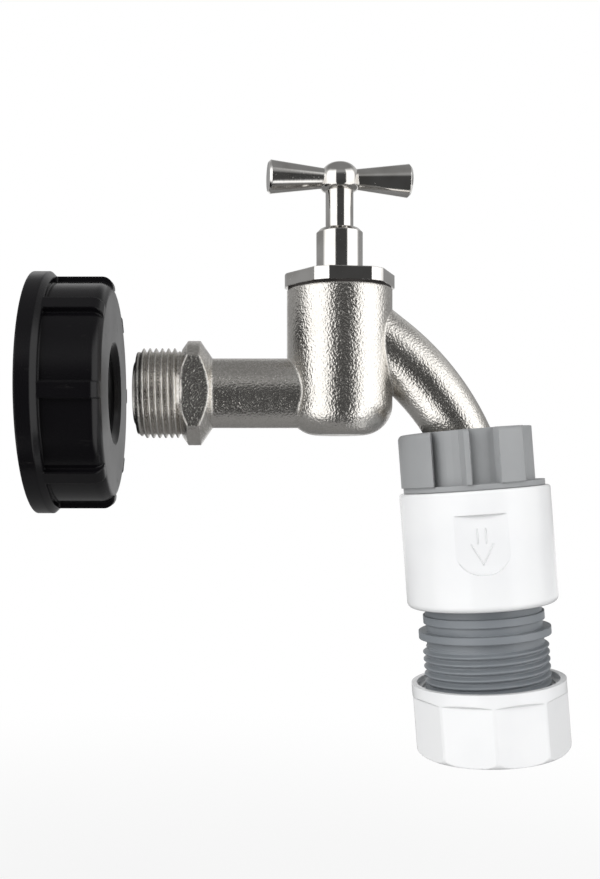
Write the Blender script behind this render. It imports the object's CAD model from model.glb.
import math

import bpy
import numpy as np
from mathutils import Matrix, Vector


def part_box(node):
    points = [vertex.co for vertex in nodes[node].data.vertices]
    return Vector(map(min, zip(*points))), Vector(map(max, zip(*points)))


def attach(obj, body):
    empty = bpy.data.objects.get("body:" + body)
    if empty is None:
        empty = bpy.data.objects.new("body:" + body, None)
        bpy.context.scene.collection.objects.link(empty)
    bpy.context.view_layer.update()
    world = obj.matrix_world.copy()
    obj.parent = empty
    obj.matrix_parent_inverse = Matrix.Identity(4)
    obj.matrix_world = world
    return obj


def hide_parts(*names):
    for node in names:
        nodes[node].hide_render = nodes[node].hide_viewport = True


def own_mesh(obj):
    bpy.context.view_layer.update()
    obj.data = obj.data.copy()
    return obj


# A tank outlet adapter: a black screw cap, a bib tap with a T handle and a quick hose connector.
# Metres, in the model's own frame: +X along the tap's inlet, +Z up, the viewer on the -Y side.
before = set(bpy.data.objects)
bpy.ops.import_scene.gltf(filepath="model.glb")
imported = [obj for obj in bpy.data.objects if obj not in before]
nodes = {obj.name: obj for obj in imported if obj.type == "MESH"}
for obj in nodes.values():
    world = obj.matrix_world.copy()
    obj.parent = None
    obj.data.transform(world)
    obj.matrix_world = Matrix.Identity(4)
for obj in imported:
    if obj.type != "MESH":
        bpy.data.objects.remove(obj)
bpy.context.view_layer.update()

# The viewpoint: level with the hose connector's top, a third of a metre away. The lens is shifted
# so that its axis stays level while the whole adapter is in the picture.
camera_data = bpy.data.cameras.new("viewpoint")
camera_data.lens = 41.6
camera_data.sensor_width = 36.0
camera_data.shift_x = 0.0626
camera_data.shift_y = 0.0438
camera_data.clip_start = 0.01
camera = bpy.data.objects.new("viewpoint", camera_data)
camera.location = (0.0606, -0.300, -0.025)
camera.rotation_euler = (math.radians(90), 0, 0)
bpy.context.scene.collection.objects.link(camera)
bpy.context.scene.camera = camera
bpy.context.scene.view_settings.view_transform = "Standard"


# The studio: a white sweep behind, a pale table under the object, a dark room behind the camera,
# and a tall white screen on each side, which give turned metal its bright and dark bands.
class Socket:
    """A value in a node tree. Arithmetic on it adds Math nodes to the tree."""

    def __init__(self, tree, output=None):
        self.tree = tree
        self.output = output

    def node(self, kind, settings, sockets, output=0):
        """Add a node, make its settings first, and then fill its sockets with values or links."""
        made = self.tree.nodes.new("ShaderNode" + kind)
        for name, setting in settings.items():
            setattr(made, name, setting)
        for name, value in sockets.items():
            if isinstance(value, Socket):
                self.tree.links.new(value.output, made.inputs[name])
            else:
                made.inputs[name].default_value = value
        return Socket(self.tree, made.outputs[output] if made.outputs else None)

    def maths(self, operation, first, second=0.0):
        return self.node("Math", {"operation": operation}, {0: first, 1: second})

    def __add__(self, other):
        return self.maths("ADD", self, other)

    def __sub__(self, other):
        return self.maths("SUBTRACT", self, other)

    def __rsub__(self, other):
        return self.maths("SUBTRACT", other, self)

    def __mul__(self, other):
        return self.maths("MULTIPLY", self, other)

    __radd__ = __add__
    __rmul__ = __mul__

    def larger(self, other):
        return self.maths("MAXIMUM", self, other)

    def size(self):
        return self.maths("ABSOLUTE", self)

    def step(self, start, end):
        """Rise smoothly from 0 to 1 between two values of this one."""
        return self.node("MapRange", {"interpolation_type": "SMOOTHSTEP"},
                         {0: self, 1: start, 2: end, 3: 0.0, 4: 1.0})

    def beside(self, name):
        """Another output of the node that this value comes from."""
        return Socket(self.tree, self.output.node.outputs[name])

    def parts(self):
        """The three parts of a vector."""
        split = self.node("SeparateXYZ", {}, {0: self})
        return [split.beside(name) for name in "XYZ"]

    def ray_kinds(self):
        """Whether the camera looks straight at a thing, and whether metal or glass shows it."""
        path = self.node("LightPath", {}, {})
        return path.beside("Is Camera Ray"), \
            path.beside("Is Glossy Ray") + path.beside("Is Transmission Ray")


def blend_colours(first, second, share):
    """A colour between two, by a share from 0 to 1."""
    return share.node("Mix", {"data_type": "RGBA"},
                      {0: share, 6: (*first, 1.0), 7: (*second, 1.0)}, output=2)


# Where each light starts and ends, in degrees: azimuths from the room's middle, heights above or
# below the horizon, and for the sweep the angle from straight behind. Then each light's strength.
to_degrees = 180.0 / math.pi
room_middle = 4.5
screen_near_edge = (26.5, 33.5)
screen_far_edge = (80.0, 102.0)
side_rise = (68.0, 108.0)
fill_rise = (14.0, 34.0)
ceiling_rise = (30.0, 54.0)
ground_rise = (44.0, 60.0)
sweep_rise = (19.0, 15.0)
screen_light = 1.60
room_light = 0.06
side_light = 0.32
fill_light = 0.30
ceiling_light = 0.24
ground_light = 0.06
plain_white = (1.0, 1.0, 1.0, 1.0)


def studio_world():
    """Light by direction, as angles round the object. The azimuth is taken from the camera's side,
    where the room is dark, and the screens stand between two azimuths on either side. The camera
    sees white all round. Mirrored rays see it only close to straight behind, and else the room."""
    world = bpy.data.worlds.new("studio")
    world.use_nodes = True
    tree = world.node_tree
    tree.nodes.clear()
    start = Socket(tree)
    x, y, z = start.node("TexCoord", {}, {}, output="Generated").parts()
    azimuth = (x.maths("ARCTAN2", x, y * -1.0) * to_degrees - room_middle).size()
    height = z.maths("ARCSINE", z) * to_degrees
    screens = azimuth.step(*screen_near_edge) * (1.0 - azimuth.step(*screen_far_edge))
    round_about = azimuth.step(*side_rise) * (side_light - room_light) + room_light
    fill = height.step(*fill_rise) * fill_light
    level = screens * screen_light + (1.0 - screens) * (round_about + fill)
    above = height.step(*ceiling_rise)
    below = (height * -1.0).step(*ground_rise)
    level = above * ceiling_light + (1.0 - above) * level
    level = below * ground_light + (1.0 - below) * level
    sweep = (y.maths("ARCCOSINE", y) * to_degrees).step(*sweep_rise)
    seen, mirrored = start.ray_kinds()
    white = seen.larger(mirrored * sweep)
    light = white + (1.0 - white) * level
    background = start.node("Background", {}, {"Color": plain_white, "Strength": light})
    start.node("OutputWorld", {}, {"Surface": background})
    bpy.context.scene.world = world


# The table: its place, its two greys, and how it goes over into the white sweep. All in metres
# from the model's origin.
floor_height = -0.205
floor_reach = 4.0
floor_front = -0.06
floor_white = (0.88, 0.88, 0.88)
floor_grey = (0.34, 0.34, 0.34)
floor_glow = 0.74
floor_front_fade = (-0.01, -0.055)
floor_seen_fade = (0.15, 0.55)
floor_mirrored_fade = (0.7, 1.7)


def studio_floor():
    """A pale floor under and behind the object, which ends a little before its front, as a white
    table does. It takes the object's shadow, and fades into the white sweep away from it. Its
    paint is pale for the camera and grey for all other rays."""
    corners = [(-floor_reach, floor_front), (floor_reach, floor_front),
               (floor_reach, floor_reach), (-floor_reach, floor_reach)]
    mesh = bpy.data.meshes.new("floor")
    mesh.from_pydata([(x, y, floor_height) for x, y in corners], [], [(0, 1, 2, 3)])
    floor = bpy.data.objects.new("floor", mesh)
    bpy.context.scene.collection.objects.link(floor)
    material = bpy.data.materials.new("floor_paint")
    material.use_nodes = True
    tree = material.node_tree
    tree.nodes.clear()
    start = Socket(tree)
    place = start.node("TexCoord", {}, {}, output="Object")
    away = place.node("VectorMath", {"operation": "LENGTH"}, {0: place}, output="Value")
    front = place.parts()[1].step(*floor_front_fade)
    seen, mirrored = start.ray_kinds()
    glow = away.step(*floor_seen_fade).larger(front) * (1.0 - floor_glow) + floor_glow
    far = glow * seen + away.step(*floor_mirrored_fade) * mirrored
    paint = start.node("BsdfDiffuse", {}, {"Color": blend_colours(floor_grey, floor_white, seen)})
    white = start.node("Emission", {}, {"Color": plain_white, "Strength": 1.0})
    both = start.node("MixShader", {}, {0: far, 1: paint, 2: white})
    start.node("OutputMaterial", {}, {"Surface": both})
    mesh.materials.append(material)


def soft_lamp(name, place, target, width, height, power):
    """A soft box: a rectangular lamp turned to a point on the object."""
    data = bpy.data.lights.new(name, "AREA")
    data.shape = "RECTANGLE"
    data.size = width
    data.size_y = height
    data.energy = power
    lamp = bpy.data.objects.new(name, data)
    lamp.location = place
    lamp.rotation_euler = (Vector(target) - Vector(place)).to_track_quat("-Z", "Y").to_euler()
    bpy.context.scene.collection.objects.link(lamp)
    lamp.visible_glossy = False


middle = (0.075, 0.0, -0.03)
studio_world()
studio_floor()
soft_lamp("front_softbox", (-0.60, -0.85, 0.60), middle, width=0.8, height=0.8, power=6.8)
soft_lamp("right_softbox", (0.95, -0.75, 0.35), middle, width=0.6, height=0.9, power=3.0)


# Tap body: cast brass, shot blasted and nickel plated. The blasting leaves a fine pebbled skin
# that glitters where it turns between the light and the dark side of the room.
def finish(name, colour, roughness, metallic, rounding):
    """Start a material: a Principled surface with its plain values set on its own sockets.
    Rounding softens the light along the solid's sharp edges by that radius."""
    material = bpy.data.materials.new(name)
    material.use_nodes = True
    tree = material.node_tree
    surface = tree.nodes["Principled BSDF"]
    surface.inputs["Base Color"].default_value = (*colour, 1.0)
    surface.inputs["Roughness"].default_value = roughness
    surface.inputs["Metallic"].default_value = metallic
    start = Socket(tree)
    place = start.node("TexCoord", {}, {}, output="Object")
    soft_edge = start.node("Bevel", {"samples": 6}, {"Radius": rounding})
    return material, surface, place, soft_edge


def join(surface, **values):
    """Lead varying values to the surface's sockets, whose names are written with low lines."""
    for socket_name, value in values.items():
        place = surface.inputs[socket_name.replace("_", " ").title()]
        value.tree.links.new(value.output, place)


def paint_nodes(material, *names):
    """Give carried-over solids their finished material."""
    for name in names:
        for material_slot in nodes[name].material_slots:
            material_slot.link = "DATA"
            material_slot.material = material


def noise(place, scale, detail=2.0, roughness=0.5, stretch=(1.0, 1.0, 1.0)):
    """Fractal noise whose grains are about 1 / scale metres across, stretched along an axis."""
    moved = place.node("Mapping", {}, {"Vector": place, "Scale": stretch})
    return place.node("TexNoise", {}, {"Vector": moved, "Scale": scale, "Detail": detail,
                                       "Roughness": roughness})


def bump(height, strength, depth, normal):
    """A relief from a height field, over the soft edges or another relief."""
    return height.node("Bump", {}, {"Height": height, "Strength": strength, "Distance": depth,
                                    "Normal": normal})


def cast_nickel():
    """Pale nickel. Grains of half a millimetre and rounder pits between them make the relief."""
    material, surface, place, soft_edge = finish(
        "cast_nickel", (0.72, 0.695, 0.655), roughness=0.27, metallic=1.0, rounding=0.0009)
    grains = noise(place, 1750.0, detail=1.0)
    pebbles = place.node("TexVoronoi", {"feature": "SMOOTH_F1"},
                         {"Vector": place, "Scale": 1500.0, "Smoothness": 0.6})
    clouds = noise(place, 90.0, detail=4.0, roughness=0.6)
    relief = bump(grains, 0.52, 0.00026, soft_edge)
    relief = bump(1.0 - pebbles, 0.35, 0.00012, relief)
    share = (grains * 0.6 + clouds * 0.4).step(0.36, 0.62)
    join(surface, normal=relief,
         base_color=blend_colours((0.66, 0.635, 0.595), (0.80, 0.775, 0.735), share),
         roughness=grains * 0.08 + clouds * 0.08 + 0.14)
    return material


nickel = cast_nickel()
paint_nodes(nickel, "tap_body")


# Inlet and outlet threads: the pipe threads cut on the casting's two ends before it is plated.
# They have the casting's own nickel finish, and their turns stand on the solid's plain core.
class Axis:
    """A line with a start, a direction and two square directions across it, all in metres."""

    def __init__(self, start, way, across):
        self.start = np.array(start)
        self.way = np.array(way)
        self.first = np.array(across)
        self.second = np.cross(self.way, self.first)

    def points(self, radius, angle, height):
        """Points on the axis's own cylinders. The three arrays share one shape."""
        return self.start + radius[..., None] * (
            np.cos(angle)[..., None] * self.first + np.sin(angle)[..., None] * self.second
        ) + height[..., None] * self.way


def smooth_rise(values, start, end):
    """The cubic 3 t t - 2 t t t, where t runs from 0 to 1 between the start and the end."""
    share = np.clip((values - start) / (end - start), 0.0, 1.0)
    return share * share * (3.0 - 2.0 * share)


def new_piece(name, corners, faces, body, material, smooth=True):
    """A piece with its mesh in place, which rides on a body and has its finish."""
    mesh = bpy.data.meshes.new(name)
    mesh.from_pydata(corners.reshape(-1, 3).tolist(), [], faces)
    if smooth:
        mesh.shade_smooth()
    mesh.materials.append(material)
    piece = bpy.data.objects.new(name, mesh)
    bpy.context.scene.collection.objects.link(piece)
    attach(piece, body)
    return piece


def closed_faces(points):
    """The faces of a grid of points that meets itself in both directions, turned outwards."""
    rows, columns = points.shape[:2]
    number = np.arange(rows * columns).reshape(rows, columns)
    below, beside = np.roll(number, -1, axis=0), np.roll(number, -1, axis=1)
    both = np.roll(below, -1, axis=1)
    faces = np.stack([number, beside, both, below], axis=-1).reshape(-1, 4)
    corners = points.reshape(-1, 3)
    first, second, third = (corners[faces[:, place]] for place in (0, 1, 2))
    if np.einsum("ij,ij->i", first, np.cross(second, third)).sum() < 0.0:
        faces = faces[:, ::-1]
    return faces.tolist()


def thread_turns(axis, wall, height, pitch, start, end, run_in, run_out, crest=0.12, turn_rows=20):
    """Points of a thread's turns round an axis, as a shell with its own inner wall. The radius at a
    height h and an angle a is wall + height * w, where w rises and falls once, over the phase
    h / pitch - a / (2 pi), as a triangle cut level at its crest and its root, and fades at both
    ends. A height below 0 makes turns that stand inwards from a bore and fit the other ones. The
    roots stand a skin proud of the wall, the end rows 6 skins and the inner wall 30 under it."""
    round_steps = 144
    full_turn = 2.0 * math.pi
    skin = math.copysign(0.00001, height)
    rows = int(round((end - start) / pitch * turn_rows)) + 1
    along = np.linspace(start, end, rows)
    angle = np.linspace(0.0, full_turn, round_steps, endpoint=False)
    along_grid, angle_grid = np.meshgrid(along, angle, indexing="ij")
    phase = (along_grid / pitch - angle_grid / full_turn + (0.5 if height < 0.0 else 0.0)) % 1.0
    triangle = 1.0 - np.abs(2.0 * phase - 1.0)
    straight = np.clip((triangle - crest) / (1.0 - 2.0 * crest), 0.0, 1.0)
    shape = (smooth_rise(triangle, crest, 1.0 - crest) + straight) * 0.5
    fade = smooth_rise(along_grid, start, start + run_in) \
        * (1.0 - smooth_rise(along_grid, end - run_out, end))
    radius = wall + skin + (height - skin) * shape * fade
    radius[[0, -1]] = wall - skin * 6.0
    inner_angle = np.broadcast_to(angle, (2, round_steps))
    inner = np.full(inner_angle.shape, wall - skin * 30.0)
    inner_along = np.broadcast_to(np.array([[along[-1]], [along[0]]]), inner_angle.shape)
    return np.concatenate([axis.points(radius, angle_grid, along_grid),
                           axis.points(inner, inner_angle, inner_along)])


def thread(name, body, slot, material, axis, **sizes):
    """A thread's turns as a piece. The sizes are those of thread_turns."""
    points = thread_turns(axis, **sizes)
    return new_piece(name, points, closed_faces(points), body, material)


inlet_pitch, inlet_depth = 0.001814, 0.00116
outlet_pitch, outlet_depth = 0.002309, 0.00148
hose_lean = math.radians(4.3)


def spout_point(distance):
    """A point on the hose connector's leaning axis, by its distance below the connector's top."""
    return (0.1268 + distance * math.sin(hose_lean), 0.0, -0.0110 - distance * math.cos(hose_lean))


inlet_axis = Axis((0.0282, 0.0, 0.0), (1.0, 0.0, 0.0), (0.0, 0.0, 1.0))
hose_axis = Axis(spout_point(0.0), np.subtract(spout_point(0.0), spout_point(1.0)),
                 (math.cos(hose_lean), 0.0, math.sin(hose_lean)))
thread("inlet_thread", "tap", "nickel_cast", nickel, inlet_axis, wall=0.01206, height=inlet_depth,
       pitch=inlet_pitch, start=0.0009, end=0.0138, run_in=0.0021, run_out=0.0012)
thread("outlet_thread", "tap", "nickel_cast", nickel, hose_axis, wall=0.01514, height=outlet_depth,
       pitch=outlet_pitch, start=-0.0117, end=-0.0020, run_in=0.0012, run_out=0.0010)


# Bonnet, spindle and handle: brass turned on a lathe, polished and chrome plated. Fine turning
# marks run round them, and the plating has a few specks.
def turned_chrome(name, way, marks):
    """Bright chrome. The turning marks are noise drawn out across the lathe's own axis."""
    material, surface, place, soft_edge = finish(
        name, (0.78, 0.765, 0.745), roughness=0.09, metallic=1.0, rounding=0.00035)
    stretch = tuple(1.0 if part else 0.04 for part in way)
    rings = noise(place, 2600.0, detail=1.0, stretch=stretch)
    specks = noise(place, 1700.0, detail=1.0).step(0.73, 0.80)
    clouds = noise(place, 120.0, detail=3.0)
    join(surface, normal=bump(rings * marks - specks * 0.8, 0.18, 0.00006, soft_edge),
         base_color=blend_colours((0.80, 0.785, 0.765), (0.62, 0.60, 0.57),
                                  clouds.step(0.35, 0.75)),
         roughness=clouds * 0.08 + specks * 0.25 + 0.035)
    return material


paint_nodes(turned_chrome("turned_chrome", (0, 0, 1), marks=0.5), "bonnet", "spindle")
paint_nodes(turned_chrome("handle_chrome", (1, 0, 0), marks=0.3), "tee_handle")


# Small plain pieces inside and behind the tap: unplated brass, pressed fibre, rubber seals and
# the blackened screw in the handle's hub.
def worn_metal(name, colour, roughness, dark):
    """Bare metal, darker in patches, with a fine uneven skin."""
    material, surface, place, soft_edge = finish(
        name, colour, roughness, metallic=1.0, rounding=0.0002)
    grains = noise(place, 1400.0, detail=3.0)
    patches = noise(place, 260.0, detail=3.0).step(0.42, 0.72)
    join(surface, normal=bump(grains, 0.25, 0.00008, soft_edge),
         base_color=blend_colours(colour, dark, patches),
         roughness=grains * 0.2 + (roughness - 0.08))
    return material


def moulded_rubber():
    """Black rubber with a little pale dust on it."""
    material, surface, place, soft_edge = finish(
        "moulded_rubber", (0.018, 0.018, 0.019), roughness=0.62, metallic=0.0, rounding=0.0002)
    grains = noise(place, 1900.0, detail=3.0)
    dust = noise(place, 150.0, detail=4.0).step(0.45, 0.8)
    join(surface, normal=bump(grains, 0.3, 0.00006, soft_edge),
         base_color=blend_colours((0.014, 0.014, 0.015), (0.045, 0.044, 0.043), dust),
         roughness=grains * 0.2 + 0.5)
    return material


def pressed_fibre():
    """Dark pressed fibre, soaked and matte, with its strands just showing."""
    material, surface, place, soft_edge = finish(
        "pressed_fibre", (0.016, 0.014, 0.013), roughness=0.75, metallic=0.0, rounding=0.0001)
    strands = noise(place, 1300.0, detail=4.0, roughness=0.7)
    join(surface, normal=bump(strands, 0.4, 0.00006, soft_edge),
         base_color=blend_colours((0.008, 0.007, 0.007), (0.032, 0.026, 0.023), strands))
    return material


paint_nodes(worn_metal("plain_brass", (0.72, 0.50, 0.21), 0.28, (0.42, 0.27, 0.11)),
            "jumper", "washer_nut")
paint_nodes(worn_metal("blackened_steel", (0.12, 0.12, 0.125), 0.38, (0.05, 0.05, 0.052)),
            "handle_grub_screw")
paint_nodes(pressed_fibre(), "bonnet_gasket")
paint_nodes(moulded_rubber(), "spindle_o_ring", "tap_washer", "ibc_cap_gasket", "connector_washer",
            "spigot_o_ring")


# Screw cap: one glossy black moulding, a little scuffed, with flow marks in its panels. Its front
# face comes duller from the mould.
cap_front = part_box("ibc_cap")[1][0]


def black_moulding():
    """Glossy black. The scuffs are paler and duller streaks, and the front face is duller too."""
    material, surface, place, soft_edge = finish(
        "black_moulding", (0.004, 0.004, 0.005), roughness=0.24, metallic=0.0, rounding=0.0007)
    surface.inputs["Specular IOR Level"].default_value = 0.30
    skin = noise(place, 700.0, detail=3.0)
    flow = noise(place, 60.0, detail=4.0, stretch=(0.5, 1.0, 1.0))
    streaks = noise(place, 330.0, detail=5.0, roughness=0.7, stretch=(0.25, 1.0, 1.0))
    scuffs = streaks.step(0.60, 0.78)
    front = place.parts()[0].step(cap_front - 0.0012, cap_front - 0.0004)
    join(surface, normal=bump(skin * 0.4 + flow * 1.6, 0.12, 0.0003, soft_edge),
         base_color=blend_colours((0.0035, 0.0032, 0.0040), (0.014, 0.013, 0.013), scuffs),
         roughness=flow * 0.10 + scuffs * 0.16 + front * 0.17 + 0.13)
    return material


black = black_moulding()
paint_nodes(black, "ibc_cap")

# Cap threads: the coarse tank thread on the inside of the cap's wall, a little over two turns of
# it, and the fine pipe thread in its front bore, both moulded with the cap.
cap_axis = Axis((0.0, 0.0, 0.0), (1.0, 0.0, 0.0), (0.0, 0.0, 1.0))
thread("cap_coarse_thread", "cap", "black_plastic", black, cap_axis, wall=0.03015, height=-0.0019,
       pitch=0.006, start=0.0008, end=0.0126, run_in=0.0022, run_out=0.0022, crest=0.22,
       turn_rows=36)
thread("cap_front_thread", "cap", "black_plastic", black, inlet_axis, wall=0.01327,
       height=-inlet_depth, pitch=inlet_pitch, start=-0.0146, end=-0.0082, run_in=0.001,
       run_out=0.001)


# Hose connector: grey and white mouldings. The grey is matte and slightly uneven, the white is
# glossy, and both have the very soft corners of moulded plastic.
def grey_moulding(name, light, dark):
    """Matte plastic between two near greys, with a fine skin."""
    material, surface, place, soft_edge = finish(
        name, light, roughness=0.42, metallic=0.0, rounding=0.0004)
    skin = noise(place, 1500.0, detail=3.0)
    clouds = noise(place, 70.0, detail=4.0)
    join(surface, normal=bump(skin, 0.12, 0.00006, soft_edge),
         base_color=blend_colours(light, dark, clouds.step(0.3, 0.8)),
         roughness=skin * 0.12 + clouds * 0.08 + 0.34)
    return material


def white_moulding():
    """Glossy white plastic, a little wavy as a moulded wall is."""
    material, surface, place, soft_edge = finish(
        "white_moulding", (0.86, 0.865, 0.87), roughness=0.22, metallic=0.0, rounding=0.0005)
    skin = noise(place, 900.0, detail=2.0)
    clouds = noise(place, 55.0, detail=3.0)
    join(surface, normal=bump(skin * 0.3 + clouds, 0.05, 0.0002, soft_edge),
         base_color=blend_colours((0.88, 0.885, 0.89), (0.845, 0.85, 0.86),
                                  clouds.step(0.35, 0.75)),
         roughness=clouds * 0.1 + 0.17)
    return material


connector_grey = grey_moulding("connector_grey", (0.335, 0.342, 0.348), (0.300, 0.308, 0.315))
coupler_grey = grey_moulding("coupler_grey", (0.215, 0.232, 0.250), (0.188, 0.205, 0.222))
white = white_moulding()
claw_ivory = grey_moulding("claw_acetal", (0.62, 0.61, 0.58), (0.56, 0.55, 0.52))
paint_nodes(connector_grey, "tap_connector")
paint_nodes(coupler_grey, "coupler_body", "hose_collet")
paint_nodes(white, "release_sleeve", "clamp_nut")
paint_nodes(claw_ivory, *(f"lock_claw_{number}" for number in (1, 2, 3, 4)))

# Connector, coupler and nut threads: the moulded turns of the connector's socket, the rounded
# turns on the hose coupler below its flange ring, and the nut's own turns that run on them.
nut_pitch, nut_depth = 0.00215, 0.0013
thread("socket_thread", "connector", "grey_plastic", connector_grey, hose_axis, wall=0.01667,
       height=-outlet_depth, pitch=outlet_pitch, start=-0.0112, end=-0.0012, run_in=0.0012,
       run_out=0.0012)
thread("coupler_thread", "coupler", "coupler_grey_plastic", coupler_grey, hose_axis, wall=0.0169,
       height=nut_depth, pitch=nut_pitch, start=-0.0788, end=-0.0624, run_in=0.0016,
       run_out=0.0012, crest=0.16)
thread("nut_thread", "nut", "white_plastic", white, hose_axis, wall=0.01825, height=-nut_depth,
       pitch=nut_pitch, start=-0.0854, end=-0.0762, run_in=0.0012, run_out=0.0012, crest=0.16)


# Sleeve spring: a compression spring of round steel wire between the sleeve and the coupler. Its
# last turns are wound close, and it shortens as the sleeve is pulled back.
def spring_coil(axis, start, length, radius, wire, turns, close_pitch):
    """A round wire along a helix. The pitch is close at both ends and rises smoothly to an open
    pitch between them, which is worked out so that the whole rise is the spring's length."""
    turn_steps, wire_steps = 48, 12
    full_turn = 2.0 * math.pi
    turned = np.linspace(0.0, turns, int(turns * turn_steps) + 1)
    opening = smooth_rise(turned, 0.6, 1.2) * (1.0 - smooth_rise(turned, turns - 1.2, turns - 0.6))
    opened = np.cumsum(opening) / np.sum(opening)
    rise = close_pitch * turned + (length - close_pitch * turns) * opened
    around = np.linspace(0.0, full_turn, wire_steps, endpoint=False)
    turned_grid, around_grid = np.meshgrid(turned * full_turn, around, indexing="ij")
    return axis.points(radius + wire * np.cos(around_grid), turned_grid,
                       -start - rise[:, None] + wire * np.sin(around_grid))


def open_faces(points):
    """The faces of a tube from a grid of points, with a flat face on both its ends."""
    rows, columns = points.shape[:2]
    number = np.arange(rows * columns).reshape(rows, columns)
    beside = np.roll(number, -1, axis=1)
    faces = np.stack([number[:-1], number[1:], beside[1:], beside[:-1]], axis=-1).reshape(-1, 4)
    return faces.tolist() + [number[0].tolist(), number[-1][::-1].tolist()]


spring_steel = worn_metal("spring_steel", (0.55, 0.55, 0.56), 0.25, (0.38, 0.37, 0.36))
coil_points = spring_coil(hose_axis, start=0.0336, length=0.0144, radius=0.018325, wire=0.00055,
                          turns=5.5, close_pitch=0.00118)
coil = new_piece("spring_coil", coil_points, open_faces(coil_points), "coupler",
                 spring_steel)
paint_nodes(spring_steel, "sleeve_spring")
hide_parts("sleeve_spring")
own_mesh(coil)


# Sleeve arrow: the outline of an arrow, moulded proud of the sleeve's flat shield, which shows
# the way that the sleeve is pulled to free the hose.
def arrow_bars(axis, turn, depth, rise, half_width, lines):
    """Bars along straight lines on a flat that faces a turn round the axis, each with its own
    small rectangular section, drawn in by a quarter at the top, as one grid of points per bar."""
    facing = math.sin(turn) * axis.first - math.cos(turn) * axis.second
    sideways = math.cos(turn) * axis.first + math.sin(turn) * axis.second
    section = np.array([(-1.0, -0.5), (1.0, -0.5), (0.55, 1.0), (-0.55, 1.0)])
    ends = np.array(lines)
    run = ends[:, 1] - ends[:, 0]
    square = np.stack([-run[:, 1], run[:, 0]], axis=-1) / np.hypot(*run.T)[:, None]
    flat = ends[:, :, None, :] + section[:, :1] * half_width * square[:, None, None, :]
    lift = np.broadcast_to(section[:, 1:] * rise + depth, flat[..., :1].shape)
    return axis.start + flat[..., :1] * sideways + flat[..., 1:] * axis.way + lift * facing


def bar_faces(count):
    """The faces of a row of closed boxes, each of two ends with four corners."""
    sides = np.array([(0, 1, 5, 4), (1, 2, 6, 5), (2, 3, 7, 6), (3, 0, 4, 7), (3, 2, 1, 0),
                      (4, 5, 6, 7)])
    return (sides + 8 * np.arange(count)[:, None, None]).reshape(-1, 4).tolist()


shaft_half, head_half, tip_half = 0.00115, 0.0030, 0.0001
shaft_top, head_top, tip_height = -0.0277, -0.0320, -0.0379
arrow_lines = [((side * shaft_half, shaft_top), (side * shaft_half, head_top))
               for side in (-1, 1)]
arrow_lines += [((side * head_half, head_top), (-side * tip_half, tip_height))
                for side in (-1, 1)]
arrow_points = arrow_bars(hose_axis, math.radians(-9.0), depth=0.02055, rise=0.00016,
                          half_width=0.00022, lines=arrow_lines)
new_piece("sleeve_arrow", arrow_points, bar_faces(len(arrow_lines)), "sleeve",
          white, smooth=False)
